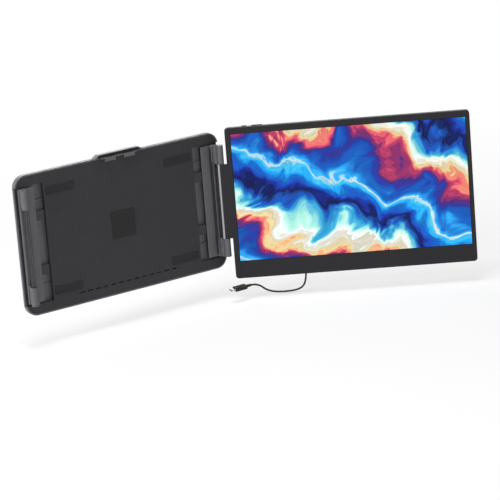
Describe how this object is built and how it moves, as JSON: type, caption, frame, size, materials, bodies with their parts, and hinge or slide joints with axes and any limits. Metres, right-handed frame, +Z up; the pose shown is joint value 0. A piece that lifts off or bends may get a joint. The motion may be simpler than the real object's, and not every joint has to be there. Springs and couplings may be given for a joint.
{
  "type": "laptop screen extender",
  "caption": "Slim frame that clips to the back of a laptop's lid, with sliding side clamps, a top clip, a kickstand and a second monitor on a side hinge, with its cord.",
  "frame": {"origin": "centre of the seat pad's face, where the back of a laptop's lid rests", "axes": "+X to the user's right along the lid's width, +Y away from the user through the frame, +Z up along the lid. In use the whole part leans back with the lid."},
  "size_m": [0.6413, 0.2337, 0.2583],
  "materials": {
    "case_plastic": "fine-grained dark grey moulded plastic",
    "bezel_plastic": "smooth satin dark grey plastic",
    "clamp_plastic": "satin dark grey plastic",
    "pad_rubber": "matt black rubber",
    "slide_steel": "brushed steel",
    "pin_steel": "blackened ground steel",
    "spring_steel": "bright spring wire",
    "screw_steel": "blackened steel",
    "washer_nylon": "nylon",
    "stand_alloy": "anodised dark grey",
    "display_film": "matt display film, lit",
    "cell_glass": "display glass",
    "light_guide": "white light guide and tray",
    "board": "green circuit board",
    "socket_metal": "plated steel",
    "speaker_plastic": "black plastic",
    "button_plastic": "black plastic",
    "cord_jacket": "matt black jacket",
    "plug_grip": "black moulded grip"
  },
  "bodies": {
    "frame": {"frame_rear_shell": "case_plastic", "frame_front_panel": "case_plastic", "corner_pads": "pad_rubber", "seat_pad": "pad_rubber", "clamp_guides": "clamp_plastic", "friction_leaves": "spring_steel", "clip_guide": "clamp_plastic", "spring_posts": "pin_steel", "frame_screws": "screw_steel", "kickstand_pin": "pin_steel", "clip_springs": "spring_steel"},
    "right_clamp": {"right_clamp_slide": "slide_steel", "right_clamp_rail": "clamp_plastic", "right_rail_pad": "pad_rubber", "right_hinge_pin": "pin_steel", "right_slide_screws": "screw_steel", "right_hinge_washers": "washer_nylon"},
    "left_clamp": {"left_clamp_slide": "slide_steel", "left_clamp_rail": "clamp_plastic", "left_rail_pad": "pad_rubber", "left_hinge_pin": "pin_steel", "left_slide_screws": "screw_steel", "left_hinge_washers": "washer_nylon"},
    "top_clip": {"clip_hook": "clamp_plastic", "clip_stem": "slide_steel", "clip_pad": "pad_rubber", "clip_grip": "pad_rubber"},
    "kickstand": {"kickstand_plate": "stand_alloy", "kickstand_foot_pad": "pad_rubber"},
    "monitor": {"monitor_bezel": "bezel_plastic", "display_glass": "display_film", "display_cell": "cell_glass", "backlight_tray": "light_guide", "driver_board": "board", "port_board": "board", "monitor_back_cover": "case_plastic", "usb_c_sockets": "socket_metal", "mini_video_socket": "socket_metal", "cord_socket": "socket_metal", "speakers": "speaker_plastic", "back_cover_screws": "screw_steel", "laptop_plug_grip": "plug_grip", "laptop_plug_shell": "socket_metal", "monitor_plug_grip": "plug_grip", "monitor_plug_shell": "socket_metal", "cord": "cord_jacket"},
    "power_button": {"power_button": "button_plastic"},
    "menu_button": {"menu_button": "button_plastic"}
  },
  "joints": [
    {"name": "right_clamp_slide", "type": "slide", "parent": "frame", "child": "right_clamp", "axis": [1, 0, 0], "range_m": [-0.005, 0.022]},
    {"name": "left_clamp_slide", "type": "slide", "parent": "frame", "child": "left_clamp", "axis": [-1, 0, 0], "range_m": [-0.005, 0.022]},
    {"name": "monitor_hinge", "type": "hinge", "parent": "right_clamp", "child": "monitor", "pos_m": [0.16465, -0.0136, 0.0008], "axis": [0, 0, -1], "range_deg": [-64, 143]},
    {"name": "clip_slide", "type": "slide", "parent": "frame", "child": "top_clip", "axis": [0, 0, 1], "range_m": [0, 0.022], "stiffness_N_per_m": 120, "springref_m": -0.025, "deforming": ["clip_springs"]},
    {"name": "kickstand_hinge", "type": "hinge", "parent": "frame", "child": "kickstand", "pos_m": [0, 0.0095, 0.0144], "axis": [1, 0, 0], "range_deg": [0, 75]},
    {"name": "power_press", "type": "slide", "parent": "monitor", "child": "power_button", "axis": [0, 0, -1], "range_m": [0, 0.0006], "stiffness_N_per_m": 900, "springref_m": -0.0005},
    {"name": "menu_rock", "type": "hinge", "parent": "monitor", "child": "menu_button", "pos_m": [0.21297, -0.04354, 0.1083], "axis": [0.5606, 0.8281, 0], "range_deg": [-4, 4], "stiffness_Nm_per_rad": 0.03}
  ]
}
